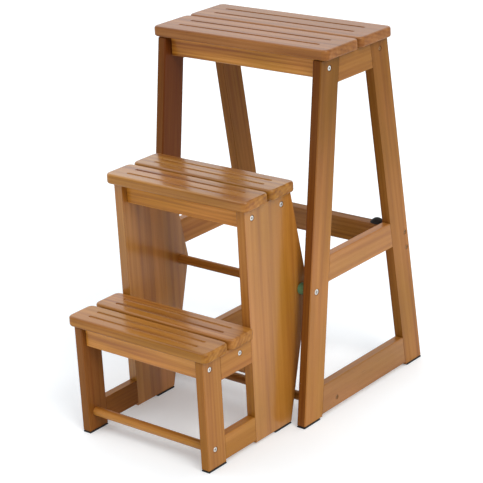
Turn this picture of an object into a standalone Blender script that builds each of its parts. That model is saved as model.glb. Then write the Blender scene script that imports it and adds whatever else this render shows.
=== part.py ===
"""A folding wooden step ladder with three treads.

A stool stands on two A-shaped side frames, and its seat is the top tread. A lower unit with two treads is
bolted between the stool's front legs. It swings up and over on those two bolts, and lies upside down inside
the stool.

Metres. +Z is up, -Y is the side that is climbed, and +X is the climber's right. The origin is on the floor,
under the middle of the open ladder.
"""

import math

import bmesh
import bpy
from mathutils import Vector

# Timber and fit
BOARD = 0.018  # thickness of the seat, treads, aprons and stretcher
SIDE = 0.017  # thickness of the side frames of both units
GAP = 0.0003  # between pieces that touch
RUNNING_GAP = 0.00008  # round the pivot bolts
PAD = 0.003  # height that the foot pads lift the timber
PAD_LENGTH = 0.045
DOWEL_RADIUS = 0.008
DOWEL_SOCKET = 0.008  # depth that a dowel's end goes into a side
BOARD_EDGE = 0.003  # rounding of the boards that are trodden on
BOARD_CORNER = 0.011  # rounding of their corners, seen from above
CORNER_STEPS = 4
FRAME_EDGE = 0.0015  # rounding of the frames and rails
JOINT_EDGE = 0.0003  # rounding where a rail butts against a leg, so that the joint looks flush
PAD_EDGE = 0.0008
BUMPER_EDGE = 0.003
DOWEL_CHAMFER = 0.001
SPACER_CHAMFER = 0.0006
SAME_PLACE = 1e-5
EDGE_ANGLE = math.radians(30)  # a flatter edge than this isn't rounded

# Stool
HEIGHT = 0.640
SEAT_LENGTH = 0.372
SEAT_DEPTH = 0.190
SEAT_SEAM = 0.003
STOOL_WIDTH = 0.349  # over the outer faces of the side frames
STOOL_MIDDLE = 0.108  # Y of the stool's middle
LEG_WIDTH = 0.050  # level width of a leg, seen from the side
FOOT_SPREAD = 0.178  # from the stool's middle to the outer edge of a leg, on the floor
HEAD_SPREAD = 0.0936  # the same, under the seat
TOP_RAIL = (0.576, HEIGHT - BOARD - GAP)
MIDDLE_RAIL = (0.241, 0.287)
BOTTOM_RAIL = (0.007, 0.059)
SEAT_APRON_HEIGHT = 0.034
SEAT_APRON_OFFSET = 0.0715  # from the stool's middle to the middle of an apron
STRETCHER_HEIGHT = 0.045
STRETCHER_Z = 0.244
STRETCHER_SCREW_SPACING = 0.030
RAIL_SCREW = (0.0244, 0.0232)  # Y and Z of the screw in a bottom rail
BUMPER_SIZE = (0.030, 0.017, 0.0095)
BUMPER_X = 0.117
LOW_DOWEL = Vector((0, -0.040, 0.0435))

# Lower unit
UNIT_WIDTH = 0.281  # over the outer faces of its sides
TREAD_LENGTH = 0.303
TREAD_SEAM = 0.006
MIDDLE_TREAD = {"front": -0.1688, "depth": 0.1335, "top": 0.4313}
LOWER_TREAD = {"front": -0.2860, "depth": 0.1272, "top": 0.2140}
SIDE_BOARD_FRONT = -0.158
SIDE_BOARD_TOP_REAR = -0.0365
SIDE_BOARD_FOOT_REAR = -0.061
STEP_LEG = (-0.2814, -0.2375)  # front and rear edges of the short front leg
STEP_TOP_RAIL_Z = 0.149
STEP_BOTTOM_RAIL = (0.007, 0.0506)
TREAD_APRON_HEIGHT = 0.035
APRON_SPACING = 0.077  # between the two aprons under one tread
MIDDLE_APRON = -0.139  # Y of the front apron under each tread
LOWER_APRON = -0.2645
BACK_RAIL_BOTTOM = 0.126
FRONT_DOWEL = Vector((0, -0.2625, 0.036))

# Pivot of the lower unit
PIVOT = Vector((0, -0.021, 0.2344))
KNEE_RADIUS = 0.0205  # rounding of the side board behind the pivot
KNEE_STEPS = 4
BOLT_RADIUS = 0.004
BOLT_HEAD_RADIUS = 0.0055
BOLT_HEAD = 0.0022
BOLT_LENGTH = 0.074
SPACER_RADIUS = 0.010
TURNED_STEPS = 24

# Screws and grooves
SCREW_RADIUS = 0.0022
SCREW_HEAD_RADIUS = 0.0036
WIDE_HEAD_RADIUS = 0.0046
SCREW_HEAD = 0.002
SCREW_LENGTH = 0.045
SCREW = (SCREW_HEAD_RADIUS, SCREW_HEAD, SCREW_RADIUS, SCREW_LENGTH)
WIDE_SCREW = (WIDE_HEAD_RADIUS, SCREW_HEAD, SCREW_RADIUS, SCREW_LENGTH)
BOLT = (BOLT_HEAD_RADIUS, BOLT_HEAD, BOLT_RADIUS, BOLT_LENGTH)
GROOVE_WIDTH = 0.005
GROOVE_ROUNDING = 0.00225
SEAT_GROOVE_LENGTH = 0.300
TREAD_GROOVE_LENGTH = 0.236

SEAT_UNDERSIDE = HEIGHT - BOARD
STOOL_FACE = STOOL_WIDTH / 2
UNIT_FACE = UNIT_WIDTH / 2
LEAN = math.atan((FOOT_SPREAD - HEAD_SPREAD) / SEAT_UNDERSIDE)
SIDES = {"left": -1, "right": 1}
FRONT_JOINT = [0]  # the sides of a plank's outline that other pieces butt against
REAR_JOINT = [2]
BOTH_JOINTS = [0, 2]

# Colours, roughness and metallic value
LOOKS = {
    "wood": ((0.47, 0.23, 0.09), 0.45, 0.0),
    "dark wood": ((0.33, 0.15, 0.06), 0.5, 0.0),
    "rubber": ((0.02, 0.02, 0.02), 0.8, 0.0),
    "nylon": ((0.33, 0.45, 0.36), 0.4, 0.0),
    "steel": ((0.66, 0.66, 0.64), 0.3, 1.0),
}


def clear_scene():
    for thing in list(bpy.data.objects):
        bpy.data.objects.remove(thing, do_unlink=True)


def new_collection(name):
    collection = bpy.data.collections.new(name)
    bpy.context.scene.collection.children.link(collection)
    return collection


def give_material(part, look):
    colour, roughness, metallic = LOOKS[look]
    material = bpy.data.materials.new(f"{part.name} {look}")
    material.use_nodes = True
    surface = material.node_tree.nodes["Principled BSDF"]
    surface.inputs["Base Color"].default_value = (*colour, 1)
    surface.inputs["Roughness"].default_value = roughness
    surface.inputs["Metallic"].default_value = metallic
    part.data.materials.append(material)


def place(name, mesh, location, parent=None):
    """Links a mesh under its name, at a world location, and hangs it on the parent empty if there is one."""
    part = bpy.data.objects.new(name, mesh)
    part.location = location
    PARTS.objects.link(part)
    if parent:
        part.parent = parent
        part.location = Vector(location) - parent.location
    return part


def round_edges(part, width, segments=1, limit="ANGLE"):
    """Rounds the sharp edges, or with limit WEIGHT, each edge as far as its weight says."""
    bevel = part.modifiers.new("rounded edges", "BEVEL")
    bevel.width = width
    bevel.segments = segments
    bevel.limit_method = limit
    bevel.angle_limit = EDGE_ANGLE


def weigh_edges(mesh, weight_of):
    """Gives each sharp edge the bevel weight that weight_of says."""
    shape = bmesh.new()
    shape.from_mesh(mesh)
    weights = shape.edges.layers.float.new("bevel_weight_edge")
    for edge in shape.edges:
        if edge.calc_face_angle(0) > EDGE_ANGLE:
            edge[weights] = weight_of(edge)
    shape.to_mesh(mesh)
    shape.free()


def on_line(corner, start, end):
    """Whether a vertex lies on the line through two (y, z) points, seen from the side."""
    along = (Vector(end) - Vector(start)).normalized()
    across = corner.co.yz - Vector(start)
    return abs(along.x * across.y - along.y * across.x) < SAME_PLACE


def cut(part, cutter):
    """Cuts part with cutter, which becomes a hidden wire object."""
    boolean = part.modifiers.new(cutter.name, "BOOLEAN")
    boolean.object = cutter
    boolean.operation = "DIFFERENCE"
    boolean.solver = "EXACT"


def hide_cutter(cutter):
    for collection in list(cutter.users_collection):
        collection.objects.unlink(cutter)
    CUTTERS.objects.link(cutter)
    cutter.hide_render = True
    cutter.display_type = "WIRE"


def block_mesh(name, size):
    mesh = bpy.data.meshes.new(name)
    shape = bmesh.new()
    bmesh.ops.create_cube(shape, size=1)
    bmesh.ops.scale(shape, vec=size, verts=shape.verts)
    shape.to_mesh(mesh)
    shape.free()
    return mesh


def block(name, low, high, edge=FRAME_EDGE, segments=1, look="wood", parent=None):
    """A rounded box between two corners."""
    low = Vector(low)
    high = Vector(high)
    part = place(name, block_mesh(name, high - low), (low + high) / 2, parent)
    round_edges(part, edge, segments)
    give_material(part, look)
    return part


def plank(name, outline, middle_x, joints, parent=None):
    """A piece of a side frame: an outline of (y, z) points, as thick as the side frames are. The joints are
    the numbers of the outline's sides that other pieces butt against, counted from its first point."""
    curve = bpy.data.curves.new(name, "CURVE")
    curve.dimensions = "2D"
    curve.fill_mode = "BOTH"
    curve.extrude = SIDE / 2
    spline = curve.splines.new("POLY")
    spline.points.add(len(outline) - 1)
    for point, (y, z) in zip(spline.points, outline):
        point.co = (y, z, 0, 1)
    spline.use_cyclic_u = True
    guide = bpy.data.objects.new(f"{name} outline", curve)
    PARTS.objects.link(guide)
    guide.rotation_euler = (math.radians(90), 0, math.radians(90))
    bpy.context.view_layer.update()
    mesh = bpy.data.meshes.new_from_object(guide.evaluated_get(bpy.context.evaluated_depsgraph_get()))
    mesh.transform(guide.matrix_world)
    bpy.data.objects.remove(guide)
    weld_outline(mesh)
    lines = [(outline[joint], outline[(joint + 1) % len(outline)]) for joint in joints]

    def weight(edge):
        butted = any(on_line(edge.verts[0], *line) and on_line(edge.verts[1], *line) for line in lines)
        return JOINT_EDGE / FRAME_EDGE if butted else 1

    weigh_edges(mesh, weight)
    part = place(name, mesh, (middle_x, 0, 0), parent)
    round_edges(part, FRAME_EDGE, limit="WEIGHT")
    give_material(part, "wood")
    return part


def weld_outline(mesh):
    """Joins a filled curve's loose caps to its sides, as one closed shape with flat faces."""
    shape = bmesh.new()
    shape.from_mesh(mesh)
    bmesh.ops.remove_doubles(shape, verts=shape.verts, dist=SAME_PLACE)
    bmesh.ops.dissolve_limit(shape, angle_limit=math.radians(1), verts=shape.verts, edges=shape.edges)
    bmesh.ops.recalc_face_normals(shape, faces=shape.faces)
    shape.to_mesh(mesh)
    shape.free()


def turned(name, profile, location, towards=1, look="steel", parent=None):
    """A piece turned about a line along X. The profile has (radius, distance) points from its outer end
    inwards, where distance runs towards +X or -X from the location."""
    mesh = bpy.data.meshes.new(name)
    shape = bmesh.new()
    points = [shape.verts.new((radius, 0, distance)) for radius, distance in profile]
    for first, second in zip(points, points[1:]):
        shape.edges.new((first, second))
    shape.to_mesh(mesh)
    shape.free()
    part = place(name, mesh, location, parent)
    part.rotation_euler.y = math.radians(90 * towards)
    screw = part.modifiers.new("turned", "SCREW")
    screw.steps = screw.render_steps = TURNED_STEPS
    screw.use_merge_vertices = True
    screw.merge_threshold = SAME_PLACE
    screw.use_smooth_shade = True
    give_material(part, look)
    return part


def rod_profile(radius, start, end, chamfer=0.0):
    """A cylinder from distance start down to distance end, with both rims taken off by the chamfer."""
    rim = [(radius, start), (radius, end)]
    if chamfer:
        inner = radius - chamfer
        rim = [(inner, start), (radius, start - chamfer), (radius, end + chamfer), (inner, end)]
    return [(0, start), *rim, (0, end)]


def headed_profile(head_radius, head, radius, length, clearance=0.0, end_clearance=0.0):
    """A screw or bolt whose head's top is at 0 and whose shank runs down to -length."""
    under_head = -head - end_clearance
    return [
        (0, end_clearance),
        (head_radius + clearance, end_clearance),
        (head_radius + clearance, under_head),
        (radius + clearance, under_head),
        (radius + clearance, -length - end_clearance),
        (0, -length - end_clearance),
    ]


def dowel(name, centre, half_length, receivers, look, parent=None):
    """A round bar along X whose ends sit in sockets in the receivers."""
    profile = rod_profile(DOWEL_RADIUS, half_length, -half_length, chamfer=DOWEL_CHAMFER)
    bar = turned(name, profile, centre, look=look, parent=parent)
    socket_profile = rod_profile(DOWEL_RADIUS + GAP, half_length + GAP, -half_length - GAP)
    socket = turned(f"{name} socket cutter", socket_profile, centre)
    hide_cutter(socket)
    for receiver in receivers:
        cut(receiver, socket)
    return bar


def under_face(tip, side):
    return Vector(tip) - Vector((side * GAP, 0, 0))


def drill(name, sizes, clearance, tip, side, receivers):
    """A hole for a screw or bolt through the receivers. The cutter's end stands clear of the face, so that the
    hole is open."""
    profile = headed_profile(*sizes, clearance=clearance, end_clearance=2 * GAP)
    hole = turned(f"{name} hole cutter", profile, under_face(tip, side), towards=side)
    hide_cutter(hole)
    for receiver in receivers:
        cut(receiver, hole)


def fastener(name, sizes, clearance, tip, side, receivers, parent):
    """A screw or bolt with its head just under the face at tip, in its hole through the receivers."""
    turned(name, headed_profile(*sizes), under_face(tip, side), towards=side, parent=parent)
    drill(name, sizes, clearance, tip, side, receivers)


def grooved_board(name, front, rear, top, length, groove_length, parent=None):
    """A tread board with rounded edges and two closed grooves, a third of the way in from each long edge."""
    low = Vector((-length / 2, front, top - BOARD))
    high = Vector((length / 2, rear, top))
    mesh = block_mesh(name, high - low)
    weigh_edges(mesh, lambda edge: edge.verts[0].co.z * edge.verts[1].co.z < 0)
    board = place(name, mesh, (low + high) / 2, parent)
    round_edges(board, BOARD_CORNER, CORNER_STEPS, limit="WEIGHT")
    round_edges(board, BOARD_EDGE, segments=2)
    give_material(board, "wood")
    for third in (1, 2):
        y = front + (rear - front) * third / 3
        cutter_name = f"{name} groove {third} cutter"
        groove = block_mesh(cutter_name, (groove_length, GROOVE_WIDTH, GROOVE_WIDTH))
        cutter = place(cutter_name, groove, (0, y, top))
        round_edges(cutter, GROOVE_ROUNDING, segments=2)
        hide_cutter(cutter)
        cut(board, cutter)
    return board


def pair_of_boards(name, front, depth, top, seam, length, groove_length, parent=None):
    middle = front + depth / 2
    grooved_board(f"{name}_front_board", front, middle - seam / 2, top, length, groove_length, parent)
    grooved_board(f"{name}_rear_board", middle + seam / 2, front + depth, top, length, groove_length, parent)


def leg_edge(z):
    """How far a leg's outer edge is from the stool's middle at height z."""
    return FOOT_SPREAD + (HEAD_SPREAD - FOOT_SPREAD) * z / SEAT_UNDERSIDE


def leg_outline(facing):
    """A stool leg's outline, where facing is -1 for the front leg and 1 for the rear one."""
    foot = PAD
    head = SEAT_UNDERSIDE - GAP
    return [
        (STOOL_MIDDLE + facing * leg_edge(foot), foot),
        (STOOL_MIDDLE + facing * leg_edge(head), head),
        (STOOL_MIDDLE + facing * (leg_edge(head) - LEG_WIDTH), head),
        (STOOL_MIDDLE + facing * (leg_edge(foot) - LEG_WIDTH), foot),
    ]


def rail_outline(bottom, top):
    """A rail between the inner edges of a stool side's two legs."""
    at_bottom = leg_edge(bottom) - LEG_WIDTH - GAP
    at_top = leg_edge(top) - LEG_WIDTH - GAP
    return [
        (STOOL_MIDDLE - at_bottom, bottom),
        (STOOL_MIDDLE - at_top, top),
        (STOOL_MIDDLE + at_top, top),
        (STOOL_MIDDLE + at_bottom, bottom),
    ]


def foot_pad(name, face_x, side, front, parent=None):
    """A flat pad under a foot, as wide as the side frame, whose outer face is at face_x."""
    inner = side * (face_x - SIDE)
    outer = side * face_x
    low_x, high_x = sorted((inner, outer))
    low = (low_x, front, 0)
    high = (high_x, front + PAD_LENGTH, PAD - GAP)
    block(name, low, high, edge=PAD_EDGE, look="rubber", parent=parent)


def stool_side(name, side):
    """Two legs and three rails. Returns the legs, which the other pieces are fastened to."""
    middle = side * (STOOL_FACE - SIDE / 2)
    front_leg = plank(f"{name}_front_leg", leg_outline(-1), middle, REAR_JOINT)
    rear_leg = plank(f"{name}_rear_leg", leg_outline(1), middle, REAR_JOINT)
    plank(f"{name}_top_rail", rail_outline(*TOP_RAIL), middle, BOTH_JOINTS)
    plank(f"{name}_middle_rail", rail_outline(*MIDDLE_RAIL), middle, BOTH_JOINTS)
    bottom_rail = plank(f"{name}_bottom_rail", rail_outline(*BOTTOM_RAIL), middle, BOTH_JOINTS)
    drill(f"{name}_rail_screw", SCREW, GAP, (side * STOOL_FACE, *RAIL_SCREW), side, [bottom_rail])
    foot_pad(f"{name}_front_foot_pad", STOOL_FACE, side, STOOL_MIDDLE - leg_edge(0) + GAP)
    foot_pad(f"{name}_rear_foot_pad", STOOL_FACE, side, STOOL_MIDDLE + leg_edge(0) - PAD_LENGTH - GAP)
    return front_leg, rear_leg


def seat_apron(name, facing):
    reach = STOOL_FACE - SIDE - GAP
    y = STOOL_MIDDLE + facing * SEAT_APRON_OFFSET
    low = (-reach, y - BOARD / 2, SEAT_UNDERSIDE - SEAT_APRON_HEIGHT)
    high = (reach, y + BOARD / 2, SEAT_UNDERSIDE - GAP)
    return block(name, low, high)


def stretcher_and_bumpers(rear_legs):
    """A rail between the rear legs, flush with their rear edges, with a bumper near each end of its top."""
    along = Vector((0, -math.sin(LEAN), math.cos(LEAN)))
    outwards = Vector((0, math.cos(LEAN), math.sin(LEAN)))
    rear_face = Vector((0, STOOL_MIDDLE + leg_edge(STRETCHER_Z), STRETCHER_Z))
    centre = rear_face - outwards * (BOARD / 2 + GAP)
    half = Vector((STOOL_FACE - SIDE - GAP, BOARD / 2, STRETCHER_HEIGHT / 2))
    rail = block("rear_stretcher", centre - half, centre + half)
    rail.rotation_euler.x = LEAN
    seat_of_bumper = centre + along * (half.z + GAP + BUMPER_SIZE[2] / 2)
    half = Vector(BUMPER_SIZE) / 2
    for name, side in SIDES.items():
        middle = seat_of_bumper + Vector((side * BUMPER_X, 0, 0))
        low, high = middle - half, middle + half
        pad = block(f"{name}_bumper", low, high, edge=BUMPER_EDGE, segments=2, look="rubber")
        pad.rotation_euler.x = LEAN
        for row in (-0.5, 0.5):
            tip = centre + along * row * STRETCHER_SCREW_SPACING
            tip.x = side * STOOL_FACE
            drill(f"{name}_stretcher_screw", SCREW, GAP, tip, side, [rear_legs[name], rail])


def tangent_angle(point, turn):
    """The angle round the pivot at which a line from the (y, z) point touches the knee's circle."""
    y = point[0] - PIVOT.y
    z = point[1] - PIVOT.z
    return math.atan2(z, y) + turn * math.acos(KNEE_RADIUS / math.hypot(y, z))


def side_board_outline():
    """The lower unit's wide upright board. Its rear edge has a knee, rounded about the pivot."""
    top = MIDDLE_TREAD["top"] - BOARD - GAP
    top_rear = (SIDE_BOARD_TOP_REAR, top)
    foot_rear = (SIDE_BOARD_FOOT_REAR, PAD)
    start = tangent_angle(top_rear, -1)
    end = tangent_angle(foot_rear, 1)
    angles = [start + (end - start) * step / KNEE_STEPS for step in range(KNEE_STEPS + 1)]
    knee = [(PIVOT.y + KNEE_RADIUS * math.cos(a), PIVOT.z + KNEE_RADIUS * math.sin(a)) for a in angles]
    return [(SIDE_BOARD_FRONT, PAD), (SIDE_BOARD_FRONT, top), top_rear, *knee, foot_rear]


def rectangle(front, rear, bottom, top):
    return [(front, bottom), (front, top), (rear, top), (rear, bottom)]


def unit_side(name, side, pivot):
    """One side of the lower unit: a wide board, and in front of it a short leg with two rails."""
    middle = side * (UNIT_FACE - SIDE / 2)
    under_tread = LOWER_TREAD["top"] - BOARD - GAP
    front, rear = STEP_LEG
    rail_front = rear + GAP
    rail_rear = SIDE_BOARD_FRONT - GAP
    top_rail_outline = rectangle(rail_front, rail_rear, STEP_TOP_RAIL_Z, under_tread)
    bottom_rail_outline = rectangle(rail_front, rail_rear, *STEP_BOTTOM_RAIL)
    pieces = {
        "board": plank(f"{name}_side_board", side_board_outline(), middle, FRONT_JOINT, pivot),
        "leg": plank(f"{name}_step_leg", rectangle(front, rear, PAD, under_tread), middle, REAR_JOINT, pivot),
        "top rail": plank(f"{name}_step_top_rail", top_rail_outline, middle, BOTH_JOINTS, pivot),
        "bottom rail": plank(f"{name}_step_bottom_rail", bottom_rail_outline, middle, BOTH_JOINTS, pivot),
    }
    foot_pad(f"{name}_step_front_pad", UNIT_FACE, side, front + GAP, parent=pivot)
    foot_pad(f"{name}_step_rear_pad", UNIT_FACE, side, SIDE_BOARD_FOOT_REAR - PAD_LENGTH - GAP, parent=pivot)
    return pieces


def tread_apron(name, y, top, height, pivot, look="wood"):
    reach = UNIT_FACE - SIDE - GAP
    low, high = (-reach, y - BOARD / 2, top - height), (reach, y + BOARD / 2, top)
    return block(name, low, high, look=look, parent=pivot)


def tread(name, size, apron_y, pivot):
    """Two boards on a front and a rear apron. Returns the aprons."""
    pair_of_boards(
        name,
        size["front"],
        size["depth"],
        size["top"],
        TREAD_SEAM,
        TREAD_LENGTH,
        TREAD_GROOVE_LENGTH,
        pivot,
    )
    underside = size["top"] - BOARD - GAP
    front = tread_apron(f"{name}_front_apron", apron_y, underside, TREAD_APRON_HEIGHT, pivot)
    rear = tread_apron(f"{name}_rear_apron", apron_y + APRON_SPACING, underside, TREAD_APRON_HEIGHT, pivot)
    return front, rear


def tread_screws(name, size, apron_y, aprons, receivers, pivot):
    """The screws through a tread's sides into its two aprons, where receivers holds, for each side, the piece
    that each apron's screw goes through."""
    z = size["top"] - BOARD - TREAD_APRON_HEIGHT / 2
    for row, (end, apron) in enumerate(zip(("front", "rear"), aprons)):
        y = apron_y + row * APRON_SPACING
        for side_name, side in SIDES.items():
            tip = (side * UNIT_FACE, y, z)
            through = [receivers[side_name][row], apron]
            fastener(f"{side_name}_{name}_{end}_screw", WIDE_SCREW, GAP, tip, side, through, pivot)


def pivot_joint(name, side, front_leg, side_board, bar, pivot):
    """A bolt through the stool's leg, a spacer and the side board, into the end of the pivot dowel."""
    middle = (STOOL_FACE - SIDE + UNIT_FACE) / 2
    half = (STOOL_FACE - SIDE - UNIT_FACE) / 2 - GAP
    profile = rod_profile(SPACER_RADIUS, half, -half, chamfer=SPACER_CHAMFER)
    spacer = turned(f"{name}_pivot_spacer", profile, (side * middle, PIVOT.y, PIVOT.z), look="nylon")
    tip = (side * STOOL_FACE, PIVOT.y, PIVOT.z)
    receivers = [front_leg, spacer, side_board, bar]
    fastener(f"{name}_pivot_bolt", BOLT, RUNNING_GAP, tip, side, receivers, pivot)


def build_stool():
    pair_of_boards(
        "seat",
        STOOL_MIDDLE - SEAT_DEPTH / 2,
        SEAT_DEPTH,
        HEIGHT,
        SEAT_SEAM,
        SEAT_LENGTH,
        SEAT_GROOVE_LENGTH,
    )
    front_legs = {}
    rear_legs = {}
    for name, side in SIDES.items():
        front_legs[name], rear_legs[name] = stool_side(name, side)
    front_apron = seat_apron("seat_front_apron", -1)
    rear_apron = seat_apron("seat_rear_apron", 1)
    stretcher_and_bumpers(rear_legs)
    socket_end = STOOL_FACE - SIDE + DOWEL_SOCKET
    dowel("low_dowel", LOW_DOWEL, socket_end, front_legs.values(), "dark wood")
    screw_z = SEAT_UNDERSIDE - SEAT_APRON_HEIGHT / 2
    for name, side in SIDES.items():
        front_tip = (side * STOOL_FACE, STOOL_MIDDLE - SEAT_APRON_OFFSET, screw_z)
        rear_tip = (side * STOOL_FACE, STOOL_MIDDLE + SEAT_APRON_OFFSET, screw_z)
        through = [front_legs[name], front_apron]
        fastener(f"{name}_seat_apron_screw", WIDE_SCREW, GAP, front_tip, side, through, None)
        drill(f"{name}_rear_apron_screw", SCREW, GAP, rear_tip, side, [rear_legs[name], rear_apron])
    return front_legs


def build_lower_unit(front_legs):
    pivot = bpy.data.objects.new("lower_unit_pivot", None)
    pivot.location = PIVOT
    PARTS.objects.link(pivot)
    sides = {name: unit_side(name, side, pivot) for name, side in SIDES.items()}
    middle_aprons = tread("middle_tread", MIDDLE_TREAD, MIDDLE_APRON, pivot)
    lower_aprons = tread("lower_tread", LOWER_TREAD, LOWER_APRON, pivot)
    back_rail_top = LOWER_TREAD["top"] - BOARD - GAP
    back_rail_y = SIDE_BOARD_FRONT + BOARD / 2
    tread_apron("lower_back_rail", back_rail_y, back_rail_top, back_rail_top - BACK_RAIL_BOTTOM, pivot)
    upper = {name: (pieces["board"], pieces["board"]) for name, pieces in sides.items()}
    lower = {name: (pieces["leg"], pieces["top rail"]) for name, pieces in sides.items()}
    tread_screws("middle_tread", MIDDLE_TREAD, MIDDLE_APRON, middle_aprons, upper, pivot)
    tread_screws("lower_tread", LOWER_TREAD, LOWER_APRON, lower_aprons, lower, pivot)
    socket_end = UNIT_FACE - SIDE + DOWEL_SOCKET
    legs = [pieces["leg"] for pieces in sides.values()]
    boards = [pieces["board"] for pieces in sides.values()]
    front_bar = dowel("front_dowel", FRONT_DOWEL, socket_end, legs, "wood", pivot)
    bar = dowel("pivot_dowel", PIVOT, socket_end, boards, "dark wood", pivot)
    for name, side in SIDES.items():
        dowel_tip = (side * UNIT_FACE, *FRONT_DOWEL.yz)
        drill(f"{name}_front_dowel_screw", WIDE_SCREW, GAP, dowel_tip, side, [sides[name]["leg"], front_bar])
        pivot_joint(name, side, front_legs[name], sides[name]["board"], bar, pivot)


clear_scene()
PARTS = new_collection("step_ladder")
CUTTERS = new_collection("cutters")
CUTTERS.hide_render = True
build_lower_unit(build_stool())
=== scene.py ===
# %% [markdown]
# # A folding wooden step ladder
# The ladder is a stool whose seat is the top tread, and a lower unit with two more treads that folds into
# it. The CAD model has settled its shape, and loads here as a fixed frame. This lesson adds what the CAD
# leaves out: softly rounded treads, round dowels, screw heads, moulded rubber, stained wood, light and a
# camera.

# %% Load the frame
import math
import random

import bmesh
import bpy
from mathutils import Matrix, Vector


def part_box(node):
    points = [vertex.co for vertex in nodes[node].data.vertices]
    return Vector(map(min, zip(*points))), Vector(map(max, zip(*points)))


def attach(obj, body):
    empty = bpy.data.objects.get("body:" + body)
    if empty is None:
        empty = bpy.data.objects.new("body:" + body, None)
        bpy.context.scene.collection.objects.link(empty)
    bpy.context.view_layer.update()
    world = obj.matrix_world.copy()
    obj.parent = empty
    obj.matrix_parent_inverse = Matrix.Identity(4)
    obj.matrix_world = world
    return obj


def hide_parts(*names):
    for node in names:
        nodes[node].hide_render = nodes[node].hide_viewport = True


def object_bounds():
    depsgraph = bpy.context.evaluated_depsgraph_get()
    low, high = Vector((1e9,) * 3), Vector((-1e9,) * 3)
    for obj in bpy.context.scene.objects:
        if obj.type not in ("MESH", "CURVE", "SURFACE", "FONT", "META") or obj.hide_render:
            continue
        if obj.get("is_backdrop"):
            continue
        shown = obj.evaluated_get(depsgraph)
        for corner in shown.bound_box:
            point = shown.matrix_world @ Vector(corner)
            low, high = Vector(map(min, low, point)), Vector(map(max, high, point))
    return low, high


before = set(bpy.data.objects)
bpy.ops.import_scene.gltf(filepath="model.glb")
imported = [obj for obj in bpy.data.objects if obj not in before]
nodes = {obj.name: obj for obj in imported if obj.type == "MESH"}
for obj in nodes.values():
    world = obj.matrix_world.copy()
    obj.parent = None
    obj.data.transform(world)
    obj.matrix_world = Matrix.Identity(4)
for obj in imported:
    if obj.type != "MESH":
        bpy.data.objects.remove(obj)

MM = 0.001
cad_low, cad_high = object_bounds()
scene = bpy.context.scene
print("frame:", len(nodes), "nodes,", [round(side / MM) for side in cad_high - cad_low], "mm")

# %% [markdown]
# ## Colours and shader nodes
# A colour picker gives a colour as six hex digits in sRGB, while Blender's shaders work in linear light,
# so one function turns the digits into linear numbers. A second function adds a node to a material with
# its settings and links, so that each finish below reads from top to bottom.

# %% Helpers for colours and nodes
def colour(hex_digits):
    """Six sRGB hex digits as linear red, green, blue and alpha."""
    parts = [int(hex_digits[i:i + 2], 16) / 255 for i in (0, 2, 4)]
    linear = [part / 12.92 if part <= 0.04045 else ((part + 0.055) / 1.055) ** 2.4 for part in parts]
    return (*linear, 1)


def add_node(tree, kind, values=None, **settings):
    """Adds one shader node. A value is a number, a colour, a vector or another node's output."""
    node = tree.nodes.new("ShaderNode" + kind)
    for name, setting in settings.items():
        setattr(node, name, setting)
    for name, value in (values or {}).items():
        if isinstance(value, bpy.types.NodeSocket):
            tree.links.new(value, node.inputs[name])
        else:
            node.inputs[name].default_value = value
    return node


def new_material(name):
    """A new material, its node tree and its Principled BSDF."""
    material = bpy.data.materials.new(name)
    material.use_nodes = True
    return material, material.node_tree, material.node_tree.nodes["Principled BSDF"]


print("honey brown in linear light:", [round(part, 3) for part in colour("B37B42")[:3]])

# %% [markdown]
# ## Camera
# The camera stands in front of the ladder, 40 degrees round to the climber's right, and looks a little
# down. A long lens from nearly three metres away keeps the uprights almost parallel. The camera is rolled
# by three degrees. Its own right, up and backward directions are worked out first, and they are the
# columns of its rotation matrix.

# %% Camera
CAMERA_TURN = math.radians(39.887)
CAMERA_RISE = math.radians(20.436)
CAMERA_ROLL = math.radians(-3.145)
CAMERA_AIM = Vector((0, -0.2073, 0.320))
AIM_RIGHT, AIM_UP = 0.1313, 0.02886  # how far the aim is moved in the camera's own directions
CAMERA_DISTANCE = 2.9195
FOCAL_LENGTH, SENSOR = 133.34, 36  # millimetres

backward = Vector((
    math.sin(CAMERA_TURN) * math.cos(CAMERA_RISE),
    -math.cos(CAMERA_TURN) * math.cos(CAMERA_RISE),
    math.sin(CAMERA_RISE),
))
level_right = Vector((math.cos(CAMERA_TURN), math.sin(CAMERA_TURN), 0))
level_up = backward.cross(level_right)
rightward = level_right * math.cos(CAMERA_ROLL) + level_up * math.sin(CAMERA_ROLL)
upward = level_up * math.cos(CAMERA_ROLL) - level_right * math.sin(CAMERA_ROLL)

camera = bpy.data.objects.new("camera", bpy.data.cameras.new("camera"))
scene.collection.objects.link(camera)
camera.data.lens, camera.data.sensor_width = FOCAL_LENGTH, SENSOR
camera.location = CAMERA_AIM + rightward * AIM_RIGHT + upward * AIM_UP + backward * CAMERA_DISTANCE
camera.rotation_mode = "QUATERNION"
camera.rotation_quaternion = Matrix((rightward, upward, backward)).transposed().to_quaternion()
scene.camera = camera
print("camera at", [round(value, 3) for value in camera.location])

# %% [markdown]
# ## Floor and studio light
# A plain pale floor stands in for the studio. It glows faintly, like backlit acrylic, so that the shadows
# on it stay pale. The light is soft: the surround is white behind the ladder, where the treads mirror it,
# and dimmer in front. A large panel high on the climber's right lights the side frames, and a wide one
# overhead lights the treads. Suns with a wide angle were chosen rather than area lights, because they
# light the whole floor evenly and their shadows are just as soft. The Standard view keeps white white.

# %% Floor, surround and lights
scene.view_settings.view_transform = "Standard"

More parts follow.
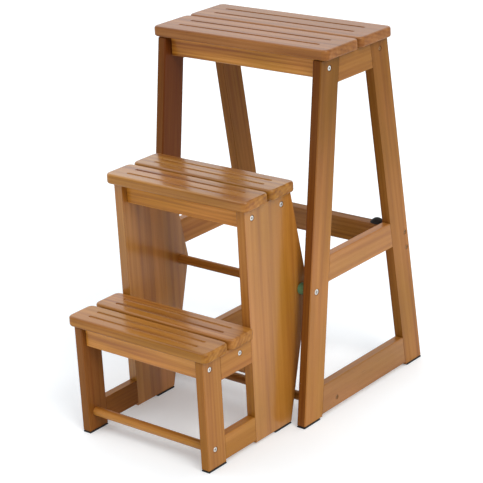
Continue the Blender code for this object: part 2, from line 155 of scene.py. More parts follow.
bpy.ops.object.select_all(action="DESELECT")
bpy.ops.mesh.primitive_plane_add(size=30)
floor = bpy.context.object
floor.name = "floor"
floor_paint, tree, surface = new_material("Backlit white acrylic, matt")
surface.inputs["Base Color"].default_value = colour("E8EEF3")
surface.inputs["Roughness"].default_value = 0.9
surface.inputs["Emission Color"].default_value = colour("F6FBFF")
surface.inputs["Emission Strength"].default_value = 0.23
floor.data.materials.append(floor_paint)
floor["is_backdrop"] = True

FRONT_LIGHT, BACKDROP_LIGHT = 0.36, 1.05  # how bright the surround is before and behind the ladder
BACKDROP = (-0.64, 0.77, 0)  # the backdrop's direction, which the camera looks in
GLOW_STARTS, GLOW_FULL = -0.3, 0.6  # cosines of the angle to the backdrop

world = bpy.data.worlds.new("studio surround")
world.use_nodes = True
tree = world.node_tree
direction = add_node(tree, "TexCoord").outputs["Generated"]
facing = add_node(tree, "VectorMath", {0: direction, 1: BACKDROP}, operation="DOT_PRODUCT").outputs["Value"]
values = {"Value": facing, "From Min": GLOW_STARTS, "From Max": GLOW_FULL}
values |= {"To Min": FRONT_LIGHT, "To Max": BACKDROP_LIGHT}
strength = add_node(tree, "MapRange", values, interpolation_type="SMOOTHSTEP").outputs[0]
tree.nodes["Background"].inputs["Color"].default_value = colour("FFFFFF")
tree.links.new(strength, tree.nodes["Background"].inputs["Strength"])
scene.world = world


def soft_sun(name, place, strength, softness, tint):
    """A sun that shines from a direction. Its softness is its angle across, which blurs its shadows."""
    sun = bpy.data.objects.new(name, bpy.data.lights.new(name, "SUN"))
    scene.collection.objects.link(sun)
    sun.data.energy, sun.data.angle, sun.data.color = strength, math.radians(softness), colour(tint)[:3]
    sun.location = place
    sun.rotation_mode = "QUATERNION"
    sun.rotation_quaternion = Vector(place).to_track_quat("Z", "Y")


soft_sun("panel on the right", (2.2, -0.7, 2.0), 1.6, 34, "FFF8F0")
soft_sun("panel overhead", (-0.2, -0.9, 3.0), 0.8, 80, "FFFFFF")

# %% [markdown]
# ## Stained wood
# The real timber is a pale hardwood, such as rubberwood, planed, dipped in a honey-coloured stain and
# sprayed with a satin lacquer. To the eye that gives fine straight streaks along each piece, wider bands
# where the stain took more or less, faint growth rings, and a clear skin that mirrors bright surroundings
# at a low angle. Stain that wasn't wiped off dries thick and dark along edges. The faces turned from the
# light get painted shade: their colour is mixed towards a dark stain colour, and they get less lacquer.
# A picture of wood could be wrapped round each piece, but a pattern computed from its own coordinates
# never repeats or stretches. Every piece is cut from another place in the same timber: its pattern is
# turned to its length and shifted.

# %% Patterns of the grain
FIBRE = 1.6 * MM  # width of a fine streak; real fibres are finer than the eye resolves here
STREAK = 11 * MM
CLOUD = 60 * MM  # patches where the stain took more or less
PORE = 0.9 * MM  # real pores are 0.2 mm wide
RING = 7 * MM
RING_WANDER = 9 * MM
STAVE = 31 * MM  # strips that the wide boards are glued up from
WAVE_RATE = 20 / math.tau  # how often the Wave texture repeats in one unit at scale 1


def stretched(tree, vector, width, length_ratio, detail, roughness=0.5):
    """Noise drawn out along the grain."""
    scale = (1 / (width * length_ratio), 1 / width, 1 / width)
    placed = add_node(tree, "Mapping", {"Vector": vector, "Scale": scale})
    values = {"Vector": placed.outputs[0], "Scale": 1, "Detail": detail, "Roughness": roughness}
    return add_node(tree, "TexNoise", values).outputs["Fac"]


def growth_rings(tree, grain):
    """Rings round the tree's middle, which wander a little along it."""
    wander = add_node(tree, "Mapping", {"Vector": grain, "Scale": (2, 14, 14)}).outputs[0]
    waver = add_node(tree, "TexNoise", {"Vector": wander, "Scale": 1, "Detail": 2}).outputs["Color"]
    values = {0: waver, 1: (RING_WANDER,) * 3, 2: grain}
    moved = add_node(tree, "VectorMath", values, operation="MULTIPLY_ADD")
    values = {"Vector": moved.outputs[0], "Scale": 1 / (WAVE_RATE * RING)}
    return add_node(tree, "TexWave", values, wave_type="RINGS", rings_direction="X").outputs["Fac"]


def stave_tone(tree, place, number):
    """Each glued-up strip across a side board has its own tone."""
    across = add_node(tree, "SeparateXYZ", {0: place}).outputs["Y"]
    strip = add_node(tree, "Math", {0: across, 1: STAVE}, operation="DIVIDE").outputs[0]
    strip = add_node(tree, "Math", {0: strip}, operation="FLOOR").outputs[0]
    strip = add_node(tree, "Math", {0: strip, 1: number}, operation="ADD").outputs[0]
    tone = add_node(tree, "TexWhiteNoise", {"W": strip}, noise_dimensions="1D").outputs["Value"]
    return add_node(tree, "MapRange", {"Value": tone, "To Min": 0.90, "To Max": 1.08}).outputs[0]


print("patterns from", round(PORE / MM, 1), "to", round(CLOUD / MM), "mm across the grain")

# %% Colour and tone of the stain
GOLDEN = ("875017", "A8701F", "BC8434")  # dark streak, body and light streak
ROSY = ("8A4F24", "AC6E34", "C08248")
DARK_STAIN_AND_SHADE = colour("5C2A0A")  # stain that dried thick along edges, and painted shade on the faces turned from the light
RING_SHARE, FIBRE_SHARE, STREAK_SHARE = 0.10, 0.26, 0.62
CENTRE = 0.01  # brings the three patterns' sum to about one half
LOW, HIGH = 250 * MM, 600 * MM  # between these heights painted shade darkens the legs towards the seat


def stain_colour(tree, rings, fibre, streak, cloud, rosy, figure):
    """The colour of the grain. Streaks count most for it, then fibres, then rings, and clouds are rosier."""
    values = {0: rings, 1: RING_SHARE, 2: CENTRE}
    body = add_node(tree, "Math", values, operation="MULTIPLY_ADD").outputs[0]
    values = {0: fibre, 1: FIBRE_SHARE, 2: body}
    body = add_node(tree, "Math", values, operation="MULTIPLY_ADD").outputs[0]
    values = {0: streak, 1: STREAK_SHARE, 2: body}
    body = add_node(tree, "Math", values, operation="MULTIPLY_ADD").outputs[0]
    stops = (0.5 - 0.22 / figure, 0.5, 0.5 + 0.22 / figure)
    stains = []
    for stain in (GOLDEN, ROSY):
        ramp = add_node(tree, "ValToRGB", {"Fac": body})
        ramp.color_ramp.elements.new(0.5)
        for element, stop, digits in zip(ramp.color_ramp.elements, stops, stain):
            element.position, element.color = stop, colour(digits)
        stains.append(ramp.outputs["Color"])
    values = {"Value": cloud, "From Min": 0.3, "From Max": 0.7, "To Min": rosy - 0.3, "To Max": rosy + 0.3}
    redness = add_node(tree, "MapRange", values).outputs[0]
    return add_node(tree, "Mix", {0: redness, 6: stains[0], 7: stains[1]}, data_type="RGBA").outputs[2]


def shade_under_seat(tree, place, top):
    """A share that is 1 low down, and falls to top just under the seat, for the painted shade there."""
    height = add_node(tree, "SeparateXYZ", {0: place}).outputs["Z"]
    values = {"Value": height, "From Min": LOW, "From Max": HIGH, "To Min": 1, "To Max": top}
    return add_node(tree, "MapRange", values, interpolation_type="SMOOTHSTEP").outputs[0]


def piece_tone(tree, place, cloud, pore, tone, top):
    """How bright a piece is, with darker pores and, on a leg, a top darkened by painted shade under the
    seat.
    """
    values = {"Value": cloud, "From Min": 0.25, "From Max": 0.75}
    values |= {"To Min": tone * 0.93, "To Max": tone * 1.07}
    shade = add_node(tree, "MapRange", values).outputs[0]
    shade = add_node(tree, "Math", {0: pore, 1: -0.14, 2: shade}, operation="MULTIPLY_ADD").outputs[0]
    if top != 1:
        values = {0: shade, 1: shade_under_seat(tree, place, top)}
        shade = add_node(tree, "Math", values, operation="MULTIPLY").outputs[0]
    return shade


print("stains:", GOLDEN, "to", ROSY)

# %% Painted shade on faces turned from the light, and thick stain along edges
EDGE_STAIN = 2 * MM
FACES_SHADED, FACES_LIT = 0.3, 0.8  # cosines of the angle to the way that the lit face looks; painted shade is full below the first


def painted_shade_share(tree, shown, fibre, dark):
    """The share of painted shade on a face: none on the lit face, and dark, more or less, on the faces
    turned from the light.
    """
    values = {"Value": shown, "From Min": FACES_SHADED, "From Max": FACES_LIT, "To Min": dark, "To Max": 0}
    share = add_node(tree, "MapRange", values).outputs[0]
    values = {"Value": fibre, "From Min": 0.3, "From Max": 0.7, "To Min": 1.12, "To Max": 0.85}
    uneven = add_node(tree, "MapRange", values).outputs[0]
    return add_node(tree, "Math", {0: share, 1: uneven}, operation="MULTIPLY").outputs[0]


def edge_share(tree, edges):
    """The share of thick stain near an edge, which is where the Bevel node turns the normal away."""
    edge = add_node(tree, "Bevel", {"Radius": EDGE_STAIN}, samples=4).outputs[0]
    facet = add_node(tree, "NewGeometry").outputs["Normal"]
    turned = add_node(tree, "VectorMath", {0: edge, 1: facet}, operation="DOT_PRODUCT").outputs["Value"]
    values = {"Value": turned, "From Min": 0.995, "From Max": 0.8, "To Max": edges}
    return add_node(tree, "MapRange", values).outputs[0]


print("thick stain reaches", round(EDGE_STAIN / MM), "mm from an edge")

# %% Stained wood
PITH = (60 * MM, 150 * MM)  # how far a piece was cut from the middle of its tree
EASED_EDGE = 1.2 * MM
GRAIN_DEPTH = 0.12 * MM


def stained_wood(
    name, number, along, tone=1, rosy=0.5, figure=1, show=None, dark=0, edges=0.55, top=1, coat=0.5,
    staves=False,
):
    """Stained and lacquered wood, with painted shade. The number picks where in the timber the piece was
    cut, and along is the way its grain runs. Tone is how bright it is, rosy how red and figure how strong
    its streaks are. Lit_face is the way the face turned to the light looks, dark the share of painted shade
    on the faces turned from the light, and edges the share of thick stain along the edges. Top is the share
    of tone just under the seat, where painted shade darkens it. Coat is the weight of the lacquer."""
    draw = random.Random(number)
    material, tree, surface = new_material(f"Honey-stained rubberwood, satin lacquer, {name}")
    coordinates = add_node(tree, "TexCoord")
    place = coordinates.outputs["Object"]
    turn = Vector(along).rotation_difference(Vector((1, 0, 0))).to_euler()
    angle = draw.uniform(0, math.tau)
    pith = draw.uniform(*PITH)
    shift = (draw.uniform(-3, 3), pith * math.cos(angle), pith * math.sin(angle))
    grain = add_node(tree, "Mapping", {"Vector": place, "Rotation": turn, "Location": shift}).outputs[0]

    fibre = stretched(tree, grain, FIBRE, 70, 3, 0.6)
    streak = stretched(tree, grain, STREAK, 30, 2)
    cloud = stretched(tree, grain, CLOUD, 3, 1)
    pore = stretched(tree, grain, PORE, 16, 1)
    pore = add_node(tree, "MapRange", {"Value": pore, "From Min": 0.64, "From Max": 0.72}).outputs[0]
    mixed = stain_colour(tree, growth_rings(tree, grain), fibre, streak, cloud, rosy, figure)
    shade = piece_tone(tree, place, cloud, pore, tone, top)
    if staves:
        values = {0: shade, 1: stave_tone(tree, place, number)}
        shade = add_node(tree, "Math", values, operation="MULTIPLY").outputs[0]
    toned = add_node(tree, "VectorMath", {0: mixed, "Scale": shade}, operation="SCALE").outputs[0]

    # The lit face has the most lacquer and no painted shade. Faces turned from the light get less lacquer,
    # so they mirror less, and painted shade.
    surface.inputs["Coat Weight"].default_value = coat
    if show:
        values = {0: coordinates.outputs["Normal"], 1: show}
        shown = add_node(tree, "VectorMath", values, operation="DOT_PRODUCT").outputs["Value"]
        values = {"Value": shown, "From Min": FACES_SHADED, "From Max": FACES_LIT}
        values |= {"To Min": 0.2 * coat, "To Max": coat}
        lacquer = add_node(tree, "MapRange", values).outputs[0]
        # On a leg the lacquer also fades under the seat, so that the painted shade there mirrors little.
        if top != 1:
            values = {0: lacquer, 1: shade_under_seat(tree, place, 0.1)}
            lacquer = add_node(tree, "Math", values, operation="MULTIPLY").outputs[0]
        tree.links.new(lacquer, surface.inputs["Coat Weight"])
        values = {0: painted_shade_share(tree, shown, fibre, dark), 6: toned, 7: DARK_STAIN_AND_SHADE}
        toned = add_node(tree, "Mix", values, data_type="RGBA").outputs[2]
    values = {0: edge_share(tree, edges), 6: toned, 7: DARK_STAIN_AND_SHADE}
    toned = add_node(tree, "Mix", values, data_type="RGBA").outputs[2]
    tree.links.new(toned, surface.inputs["Base Color"])

    # Wood hardly mirrors under its lacquer, since both bend light alike. The lacquer does the mirroring.
    surface.inputs["Specular IOR Level"].default_value = 0.2 * coat
    values = {"Value": fibre, "From Min": 0.3, "From Max": 0.7, "To Min": 0.40, "To Max": 0.52}
    tree.links.new(add_node(tree, "MapRange", values).outputs[0], surface.inputs["Roughness"])
    surface.inputs["Coat Roughness"].default_value = 0.19

    # Real edges are eased by sanding, which the Bevel node gives to edges that the CAD model leaves sharp.
    soft_edge = add_node(tree, "Bevel", {"Radius": EASED_EDGE}, samples=4).outputs[0]
    height = add_node(tree, "Math", {0: fibre, 1: 0.5}, operation="MULTIPLY").outputs[0]
    height = add_node(tree, "Math", {0: height, 1: pore}, operation="SUBTRACT").outputs[0]
    values = {"Height": height, "Strength": 0.35, "Distance": GRAIN_DEPTH, "Normal": soft_edge}
    tree.links.new(add_node(tree, "Bump", values).outputs[0], surface.inputs["Normal"])
    return material


print("edges are eased by", round(EASED_EDGE / MM, 1), "mm")

# %% [markdown]
# ## Which way each piece's grain runs
# A joiner lays the grain along each piece, because wood is strong that way. Legs lean, so their grain
# leans with them. Each piece of timber gets its own material, since no two boards of a real ladder match.
# The seat is the rosiest, and the treads and aprons are more golden. The outer faces of the frames are
# the lit ones, and the faces that look inwards, which lie in shade, get painted shade. Right under the
# seat the legs get painted shade too, so they are darker there.

# %% Choose every piece's wood
ALONG_X, ALONG_Y, ALONG_Z = (1, 0, 0), (0, 1, 0), (0, 0, 1)
LEG_RISE, LEG_RUN = 0.622, 0.0844  # how far a stool leg rises, and leans towards the stool's middle
LEAN = math.atan(LEG_RUN / LEG_RISE)

seat = dict(along=ALONG_X, rosy=1.15, show=ALONG_Z, dark=0.02, coat=0.6)
tread = dict(along=ALONG_X, tone=0.85, rosy=0.35, figure=1.2, show=ALONG_Z, coat=1)
apron = dict(along=ALONG_X, rosy=0.3, figure=1.2, coat=0.3)
WOODS = {
    "seat_front_board": dict(seat, tone=0.71),
    "seat_rear_board": dict(seat, tone=0.68),
    "seat_front_apron": dict(apron, tone=1.18, figure=1.6),
    "seat_rear_apron": dict(apron, tone=0.9),
    "middle_tread_front_board": tread,
    "middle_tread_rear_board": tread,
    "middle_tread_front_apron": dict(apron, tone=1.38),
    "middle_tread_rear_apron": dict(apron, tone=0.9),
    "lower_tread_front_board": dict(tread, coat=0.7),
    "lower_tread_rear_board": dict(tread, coat=0.8),
    "lower_tread_front_apron": dict(apron, tone=1.33, rosy=0.4, coat=0.5),
    "lower_tread_rear_apron": dict(apron, tone=0.9),
    "lower_back_rail": dict(apron, tone=0.8, rosy=0.6),
    "rear_stretcher": dict(apron, tone=0.64, rosy=0.45),
    "low_dowel": dict(apron, tone=0.7, rosy=0.6),
    "pivot_dowel": dict(apron, tone=1.1, rosy=0.5),
    "front_dowel": dict(apron, tone=0.9),
}
HANDS = {"left": -1, "right": 1}  # the way outwards along X
FORWARD = {"left": -0.45, "right": 0}  # how far a front leg's lit face is turned along Y
PAINTED_SHADE = {"left": (0.85, 0.58), "right": (0.66, 0.1)}  # shares of painted shade on a front leg, and on the lower unit, on faces turned from the light
for side, outward in HANDS.items():
    leg_shade, unit_shade = PAINTED_SHADE[side]
    stool = dict(figure=0.7, show=(outward, 0, 0))
    leg = dict(stool, rosy=0.45, show=(outward, FORWARD[side], 0))
    front = dict(leg, along=(0, LEG_RUN, LEG_RISE), dark=leg_shade)
    WOODS[f"{side}_front_leg"] = dict(front, tone=0.93, top=0.55, coat=0.4)
    rear = dict(leg, along=(0, -LEG_RUN, LEG_RISE), dark=0.28)
    WOODS[f"{side}_rear_leg"] = dict(rear, tone=0.78, top=0.72, coat=0.3)
    outward_and_up = (0.75 * outward, 0, 0.66)
    rail = dict(stool, along=ALONG_Y, rosy=0.5, show=outward_and_up, edges=0.2, coat=0.55)
    WOODS[f"{side}_top_rail"] = dict(rail, tone=0.72, rosy=0.3, coat=0.25)
    WOODS[f"{side}_middle_rail"] = dict(rail, tone=0.9)
    WOODS[f"{side}_bottom_rail"] = dict(rail, tone=0.7)
    unit = dict(figure=0.7, rosy=0.4, coat=0.4)
    WOODS[f"{side}_side_board"] = dict(unit, along=ALONG_Z, tone=1.02, coat=0.7, staves=True)
    WOODS[f"{side}_step_leg"] = dict(unit, along=ALONG_Z, tone=0.84, show=(outward, 0, 0), dark=unit_shade)
    rail = dict(unit, along=ALONG_Y, tone=0.9, show=outward_and_up, dark=unit_shade, edges=0.2)
    WOODS[f"{side}_step_top_rail"] = rail
    WOODS[f"{side}_step_bottom_rail"] = rail
# Only the right side board gets painted shade on its faces turned from the light; the left one gets none.
WOODS["right_side_board"].update(show=ALONG_X, dark=0.2)
print("the stool's legs lean by", round(math.degrees(LEAN), 1), "degrees")

# %% Give every timber node its wood
wood = {}
for number, (name, look) in enumerate(WOODS.items()):
    wood[name] = stained_wood(name, number, **look)
    nodes[name].data.materials.clear()
    nodes[name].data.materials.append(wood[name])
print(len(wood), "pieces of timber")

# %% [markdown]
# ## Rubber, nylon and steel
# The foot pads and bumpers are moulded black rubber: nearly black, with a fine matt grain that breaks up
# its shine. The spacers at the pivot are green nylon, slightly waxy, which lets the wood slide without
# squeaking. The bolts and most screws are zinc-plated steel: bright metal with a soft, cloudy sheen. The
# stool's smaller screws are bronzed, so that they are almost as dark as the wood. All four finishes
# differ only in colour, gloss and grain, so one function makes them. Metals keep the default index of
# refraction.

# %% Rubber, nylon and steel
RUBBER_GRAIN, NYLON_GRAIN, ZINC_GRAIN = 1.2 * MM, 2.5 * MM, 0.8 * MM  # the real grains are finer


def mottled(name, dark, light, grain, roughness, depth):
    """A material whose colour and roughness vary with a fine grain, which also dents it to a depth."""
    material, tree, surface = new_material(name)
    place = add_node(tree, "TexCoord").outputs["Object"]
    values = {"Vector": place, "Scale": 1 / grain, "Detail": 3, "Roughness": 0.6}
    noise = add_node(tree, "TexNoise", values).outputs["Fac"]
    share = add_node(tree, "MapRange", {"Value": noise, "From Min": 0.3, "From Max": 0.7}).outputs[0]
    values = {0: share, 6: colour(dark), 7: colour(light)}
    mixed = add_node(tree, "Mix", values, data_type="RGBA").outputs[2]
    tree.links.new(mixed, surface.inputs["Base Color"])
    values = {"Value": share, "To Min": roughness[0], "To Max": roughness[1]}
    tree.links.new(add_node(tree, "MapRange", values).outputs[0], surface.inputs["Roughness"])
    values = {"Height": noise, "Strength": 0.4, "Distance": depth}
    tree.links.new(add_node(tree, "Bump", values).outputs[0], surface.inputs["Normal"])
    return material, surface


rubber, surface = mottled("Moulded black rubber", "09090A", "161617", RUBBER_GRAIN, (0.6, 0.85), 0.15 * MM)
surface.inputs["IOR"].default_value = 1.52
nylon, surface = mottled("Moulded green nylon", "4E7A56", "6A9670", NYLON_GRAIN, (0.3, 0.42), 0.04 * MM)
surface.inputs["IOR"].default_value = 1.53
surface.inputs["Subsurface Weight"].default_value = 0.15
surface.inputs["Subsurface Radius"].default_value = (2 * MM, 2 * MM, 1.5 * MM)
steel, surface = mottled("Zinc-plated steel", "D6D4CF", "ECEAE6", ZINC_GRAIN, (0.24, 0.38), 0.01 * MM)
surface.inputs["Metallic"].default_value = 1
bronze, surface = mottled("Bronzed steel", "8E6C48", "B08A60", ZINC_GRAIN, (0.35, 0.5), 0.01 * MM)
surface.inputs["Metallic"].default_value = 1

for name, node in nodes.items():
    if name.endswith("_pad"):
        node.data.materials.clear()
        node.data.materials.append(rubber)
print("finishes:", rubber.name, "/", nylon.name, "/", steel.name, "/", bronze.name)

# %% [markdown]
# ## Modelling by hand, in code
# New pieces start from a primitive at its size and place, which edit mode then shapes. An operator acts
# on all that is selected, so everything is deselected before a primitive is added, and edges are picked
# by their place. A finished piece gets its place written into its mesh, smooth shading that stops at
# sharp edges, and its body.

# %% Helpers for modelling
SHARP = 1  # radians between the faces at an edge


def middle_of(name):
    """The middle of a node's box."""
    low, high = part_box(name)
    return (low + high) / 2


def start():
    """Deselects everything, ready for a new primitive."""
    bpy.ops.object.select_all(action="DESELECT")


def choose(piece):
    """Selects one piece and nothing else."""
    start()
    piece.select_set(True)
    bpy.context.view_layer.objects.active = piece


def edit(piece):
    """Opens one piece in edit mode."""
    choose(piece)
    bpy.ops.object.mode_set(mode="EDIT")


def pick(piece, kind, test):
    """Selects the edges or faces that pass a test, in edit mode."""
    bpy.ops.mesh.select_mode(type=kind)
    bpy.ops.mesh.select_all(action="DESELECT")
    mesh = bmesh.from_edit_mesh(piece.data)
    for element in mesh.edges if kind == "EDGE" else mesh.faces:
        element.select_set(test(element))
    mesh.select_flush_mode()
    bmesh.update_edit_mesh(piece.data)


def apply_place(piece):
    """Writes a piece's place, turn and scale into its mesh."""
    choose(piece)
    bpy.ops.object.transform_apply(location=True, rotation=True, scale=True)


def carve(piece, cutter):
    """Cuts the cutter's shape out of a piece, and throws the cutter away."""
    choose(piece)
    boolean = piece.modifiers.new("carve", "BOOLEAN")
    boolean.operation, boolean.solver, boolean.object = "DIFFERENCE", "EXACT", cutter
    bpy.ops.object.modifier_apply(modifier=boolean.name)
    bpy.data.objects.remove(cutter)


def bar_along_x(low_x, high_x, y, z, radius, sides, rounding=0, steps=3):
    """A cylinder between two X, with both its end rims rounded."""
    start()
    bpy.ops.mesh.primitive_cylinder_add(
        vertices=sides,
        radius=radius,
        depth=high_x - low_x,
        location=((low_x + high_x) / 2, y, z),
        rotation=(0, math.tau / 4, 0),
    )
    bar = bpy.context.object
    apply_place(bar)
    if rounding:
        edit(bar)
        pick(bar, "EDGE", lambda edge: edge.calc_face_angle(0) > SHARP)
        bpy.ops.mesh.bevel(offset=rounding, segments=steps)
        bpy.ops.object.mode_set(mode="OBJECT")
    return bar


def finish_piece(piece, name, body, material, slot, *replaced):
    """Names, shades and finishes a piece, and says which body it rides on and which nodes it replaces."""
    piece.name = piece.data.name = name
    apply_place(piece)
    bpy.ops.object.shade_smooth_by_angle(angle=math.radians(35))
    flat_faces = piece.modifiers.new("flat faces stay flat", "WEIGHTED_NORMAL")
    flat_faces.keep_sharp = True
    bpy.ops.object.modifier_apply(modifier=flat_faces.name)
    piece.data.materials.clear()
    piece.data.materials.append(material)
    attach(piece, body)
    if replaced:
        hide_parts(*replaced)
    return piece


start()
print("objects selected before modelling:", len(bpy.context.selected_objects))

# %% [markdown]
# ## Seat and treads
# A tread board is a planed plank. Its corners are rounded on a band saw, and its top and bottom edges
# with a router. Two grooves along it, cut with a round-nosed bit, keep a shoe from slipping. They could
# be painted on with a bump, but then a low light wouldn't catch their lips, so they are carved. A cube is
# stretched to the board's size, its upright edges are bevelled widely, its rims narrowly, and then each
# groove is cut and its lip eased.

# %% Carve the boards
BOARD_CORNER = 11 * MM
BOARD_RIM = 4 * MM
GROOVE_RADIUS = 2.5 * MM
GROOVE_NOSE = 2.35 * MM  # rounding of a groove's ends
GROOVE_LIP = 0.7 * MM
SEAT_GROOVE, TREAD_GROOVE = 300 * MM, 236 * MM  # lengths
TINY = 0.01 * MM


def is_upright(edge):
    """Whether an edge runs up a board's corner."""
    ends = [corner.co for corner in edge.verts]
    return (ends[0].xy - ends[1].xy).length < TINY


def on_rim(edge):
    """Whether an edge runs round the top or the bottom of a board."""
    return abs(edge.verts[0].co.z - edge.verts[1].co.z) < TINY and edge.calc_face_angle(0) > SHARP


def tread_board(name, body, groove_length):
    """A board that fills its node's box, with two grooves in its top."""
    low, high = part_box(name)
    start()
    bpy.ops.mesh.primitive_cube_add(size=1, location=middle_of(name), scale=high - low)
    board = bpy.context.object
    apply_place(board)
    edit(board)
    pick(board, "EDGE", is_upright)
    bpy.ops.mesh.bevel(offset=BOARD_CORNER, segments=8)
    pick(board, "EDGE", on_rim)
    bpy.ops.mesh.bevel(offset=BOARD_RIM, segments=6)
    bpy.ops.object.mode_set(mode="OBJECT")
    rows = [low.y + (high.y - low.y) * third / 3 for third in (1, 2)]
    half = groove_length / 2
    for y in rows:
        carve(board, bar_along_x(-half, half, y, high.z, GROOVE_RADIUS, 24, GROOVE_NOSE, 6))

    def on_lip(edge):
        """Whether an edge is part of a groove's rim."""
        ends = [corner.co for corner in edge.verts]
        near = [min(abs(end.y - y) for y in rows) < GROOVE_RADIUS + TINY for end in ends]
        flat = all(abs(end.z - high.z) < TINY and abs(end.x) < half + TINY for end in ends)
        return flat and all(near) and edge.calc_face_angle(0) > SHARP / 2

    edit(board)
    pick(board, "EDGE", on_lip)
    bpy.ops.mesh.bevel(offset=GROOVE_LIP, segments=2)
    bpy.ops.object.mode_set(mode="OBJECT")
    return finish_piece(board, f"{name}_carved", body, wood[name], "wood", name)


for end in ("front", "rear"):
    tread_board(f"seat_{end}_board", "stool", SEAT_GROOVE)
    tread_board(f"middle_tread_{end}_board", "lower_unit", TREAD_GROOVE)
    tread_board(f"lower_tread_{end}_board", "lower_unit", TREAD_GROOVE)

# %% [markdown]
# ## Round dowels
# A dowel is a round bar from a dowel mill, with its ends eased so that it enters its socket. A cylinder
# with enough sides to look round is bevelled at both rims, and bored where a screw or bolt goes into its
# ends.

# %% Turn the dowels
DOWEL_EASE = 1 * MM
BORE_CLEARANCE = 0.1 * MM
BORE_SPARE = 1 * MM  # how much deeper a bore is than its screw
SCREW_SHANK, BOLT_SHANK = 2.2 * MM, 4.0 * MM  # radii
OUTSIDE = cad_high.x + 14 * MM  # an X where a cutter stands clear of the ladder


def dowel(name, body, shank=None, tip=0):
    """A dowel in its node's place, bored at both ends for a shank whose tip is at an X."""
    low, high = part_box(name)
    middle = middle_of(name)
    bar = bar_along_x(low.x, high.x, middle.y, middle.z, (high.z - low.z) / 2, 48, DOWEL_EASE)
    if shank:
        near = tip - BORE_SPARE
        for low_x, high_x in ((near, OUTSIDE), (-OUTSIDE, -near)):
            bore = bar_along_x(low_x, high_x, middle.y, middle.z, shank + BORE_CLEARANCE, 24)
            carve(bar, bore)
    return finish_piece(bar, f"{name}_turned", body, wood[name], "wood", name)


dowel("low_dowel", "stool")
dowel("front_dowel", "lower_unit", SCREW_SHANK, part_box("right_lower_tread_front_screw")[0].x)
dowel("pivot_dowel", "lower_unit", BOLT_SHANK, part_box("right_pivot_bolt")[0].x)

# %% [markdown]
# ## Screws and pivot bolts
# Each joint shows the head of a screw with a hexagon socket, set a little below the wood in its
# counterbore, so a dark ring surrounds the head. Wide zinc-plated heads hold the treads and catch the
# light. Small bronzed ones hold the rest of the stool and hardly show. One screw of each kind is modelled
# along Z: the head is a cylinder with an eased rim, the shank is inset and extruded from its underside,
# and the socket is carved with a six-sided cutter. Copies with their own meshes are turned to either side
# and moved to each hole.

# %% Model a screw and a bolt
HEAD_EASE = 0.28  # share of a head's height that its rim's rounding takes
POINT_SHARE = 0.35  # width of a shank's tip next to the shank's
SCREW_SIZES = (1.8 * MM, SCREW_SHANK, 44 * MM)  # height of the head, radius of the shank, whole length
BOLT_SIZES = (2.0 * MM, BOLT_SHANK, 73 * MM)
WIDE_HEAD, WIDE_SOCKET = 4.2 * MM, (2.1 * MM, 3.5 * MM)  # radius of the head, radius and depth of the socket
SMALL_HEAD, SMALL_SOCKET = 3.2 * MM, (1.75 * MM, 1.2 * MM)
BOLT_HEAD, BOLT_SOCKET = 5.0 * MM, (3.2 * MM, 4 * MM)


def headed(name, head_radius, head_height, shank_radius, length, socket_radius, socket_depth):
    """A screw or bolt with its head's top at the origin and its shank down -Z."""
    start()
    bpy.ops.mesh.primitive_cylinder_add(
        vertices=32,
        radius=head_radius,
        depth=head_height,
        location=(0, 0, -head_height / 2),
    )
    piece = bpy.context.object
    apply_place(piece)
    edit(piece)
    pick(piece, "EDGE", lambda edge: all(corner.co.z > -TINY for corner in edge.verts))
    bpy.ops.mesh.bevel(offset=head_height * HEAD_EASE, segments=4)
    pick(piece, "FACE", lambda face: face.normal.z < -0.9)
    bpy.ops.mesh.inset(thickness=head_radius - shank_radius)
    pull = {"value": (0, 0, -(length - head_height - shank_radius))}
    bpy.ops.mesh.extrude_region_move(TRANSFORM_OT_translate=pull)
    bpy.ops.mesh.extrude_region_move(TRANSFORM_OT_translate={"value": (0, 0, -shank_radius)})
    bpy.ops.transform.resize(value=(POINT_SHARE, POINT_SHARE, 1))
    bpy.ops.object.mode_set(mode="OBJECT")
    start()
    bpy.ops.mesh.primitive_cylinder_add(vertices=6, radius=socket_radius, depth=2 * socket_depth)
    carve(piece, bpy.context.object)
    piece.name = name
    return piece


wide_screw = headed("wide screw", WIDE_HEAD, *SCREW_SIZES, *WIDE_SOCKET)
small_screw = headed("small screw", SMALL_HEAD, *SCREW_SIZES, *SMALL_SOCKET)
bolt = headed("bolt", BOLT_HEAD, *BOLT_SIZES, *BOLT_SOCKET)
print("wide screw:", len(wide_screw.data.polygons), "faces")

# %% [markdown]
# ## Put a screw in every hole
# The CAD has holes for twenty screws, and ten of them hold a plain screw that a detailed one replaces.
# The others have only the hole: two for the seat's rear apron, four for the stretcher, one in each bottom
# rail and one at each end of the front dowel. Left and right mirror each other.

# %% Place the fasteners
SUNK = 0.5 * MM  # how far a head lies below the wood
STOOL_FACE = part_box("right_rear_leg")[1].x
UNIT_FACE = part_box("right_step_leg")[1].x
STOOL_MIDDLE_Y = (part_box("seat_front_board")[0].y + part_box("seat_rear_board")[1].y) / 2
RAIL_SCREW = (24.4 * MM, 23.2 * MM)  # Y and Z
STRETCHER_SCREW_SPACING = 30 * MM
fasteners = []


def fasten(pattern, name, body, side, face, y, z, metal, *replaced):
    """Copies a screw or bolt to a face that looks towards +X (side 1) or -X (side -1)."""
    piece = pattern.copy()
    piece.data = pattern.data.copy()
    scene.collection.objects.link(piece)
    piece.location = (side * (face - SUNK), y, z)
    piece.rotation_euler = (0, side * math.tau / 4, 0)
    fasteners.append(finish_piece(piece, name, body, metal, "steel", *replaced))


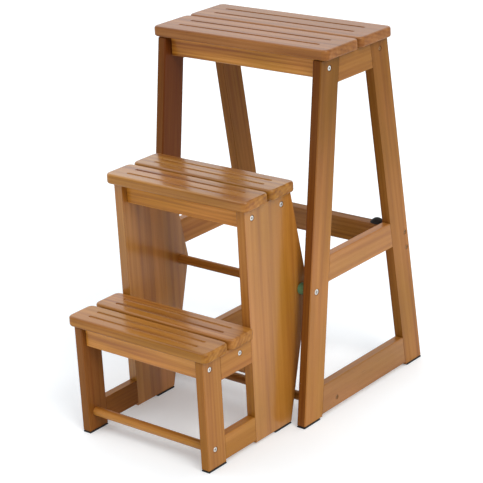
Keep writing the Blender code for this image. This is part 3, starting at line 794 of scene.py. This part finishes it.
apron_screw = middle_of("right_seat_apron_screw")
stretcher = middle_of("rear_stretcher")
front_dowel = middle_of("front_dowel")
half_step = Vector((0, -math.sin(LEAN), math.cos(LEAN))) * STRETCHER_SCREW_SPACING / 2
small_places = {
    "rear_apron_screw": (2 * STOOL_MIDDLE_Y - apron_screw.y, apron_screw.z),
    "stretcher_upper_screw": (stretcher + half_step).yz,
    "stretcher_lower_screw": (stretcher - half_step).yz,
    "bottom_rail_screw": RAIL_SCREW,
}
for side_name, side in HANDS.items():
    for name, place in small_places.items():
        fasten(small_screw, f"{side_name}_{name}", "stool", side, STOOL_FACE, *place, bronze)
    name = f"{side_name}_front_dowel_screw"
    fasten(wide_screw, name, "lower_unit", side, UNIT_FACE, *front_dowel.yz, steel)
    for name in nodes:
        if name.startswith(side_name) and name.endswith("_screw"):
            body, face = ("stool", STOOL_FACE) if "seat" in name else ("lower_unit", UNIT_FACE)
            fasten(wide_screw, f"{name}_head", body, side, face, *middle_of(name).yz, steel, name)
    name = f"{side_name}_pivot_bolt"
    fasten(bolt, f"{name}_head", "lower_unit", side, STOOL_FACE, *middle_of(name).yz, steel, name)
for pattern in (wide_screw, small_screw, bolt):
    bpy.data.objects.remove(pattern)
print("fasteners:", len(fasteners))

# %% [markdown]
# ## Pivot spacers
# A spacer is a thick nylon washer that keeps the folding unit clear of the legs. It is a short bar with
# rounded rims, bored for the bolt.

# %% Turn the spacers
SPACER_ROUNDING = 1.2 * MM
for side_name in HANDS:
    name = f"{side_name}_pivot_spacer"
    low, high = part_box(name)
    middle = middle_of(name)
    spacer = bar_along_x(low.x, high.x, middle.y, middle.z, (high.z - low.z) / 2, 48, SPACER_ROUNDING, 4)
    bore = bar_along_x(low.x - MM, high.x + MM, middle.y, middle.z, BOLT_SHANK + BORE_CLEARANCE, 32)
    carve(spacer, bore)
    finish_piece(spacer, f"{name}_turned", "stool", nylon, "nylon", name)
print("spacer radius:", round((high.z - low.z) / 2 / MM, 1), "mm")

# %% [markdown]
# ## Rubber bumpers
# The folded unit comes to rest on two bumpers on the stretcher. Each is a small moulded dome that thins
# towards its ends. A cube is drawn in at the top, and a subdivision surface rounds it. Creased lower
# edges keep its foot flat.

# %% Mould the bumpers
BUMPER_SIZE = Vector((30 * MM, 17 * MM, 9.5 * MM))
FOOT_CREASE = 0.9
TOP_SHARE = (0.34, 0.6, 1)  # size of the cube's top next to its foot


def bumper(name):
    """A dome that fills its node's place, measured before the stretcher's lean."""
    start()
    bpy.ops.mesh.primitive_cube_add(size=1)
    piece = bpy.context.object
    edit(piece)
    pick(piece, "FACE", lambda face: face.normal.z > 0.9)
    bpy.ops.transform.resize(value=TOP_SHARE)
    pick(piece, "EDGE", lambda edge: all(corner.co.z < 0 for corner in edge.verts))
    bpy.ops.transform.edge_crease(value=FOOT_CREASE)
    bpy.ops.object.mode_set(mode="OBJECT")
    rounding = piece.modifiers.new("rounding", "SUBSURF")
    rounding.levels = rounding.render_levels = 4
    bpy.ops.object.modifier_apply(modifier=rounding.name)
    columns = list(zip(*(corner.co for corner in piece.data.vertices)))
    low = Vector([min(column) for column in columns])
    high = Vector([max(column) for column in columns])
    shares = [full / (top - bottom) for full, bottom, top in zip(BUMPER_SIZE, low, high)]
    turn = Matrix.Rotation(LEAN, 4, "X")
    fit = Matrix.Diagonal((*shares, 1)) @ Matrix.Translation(-(low + high) / 2)
    piece.matrix_world = Matrix.Translation(middle_of(name)) @ turn @ fit
    return finish_piece(piece, f"{name}_moulded", "stool", rubber, "black_rubber", name)


for side_name in HANDS:
    piece = bumper(f"{side_name}_bumper")
print("bumper:", len(piece.data.polygons), "faces")

# %% Write the sizes and finish
low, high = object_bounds()
print("visual box:", [round(side / MM, 1) for side in high - low], "mm")
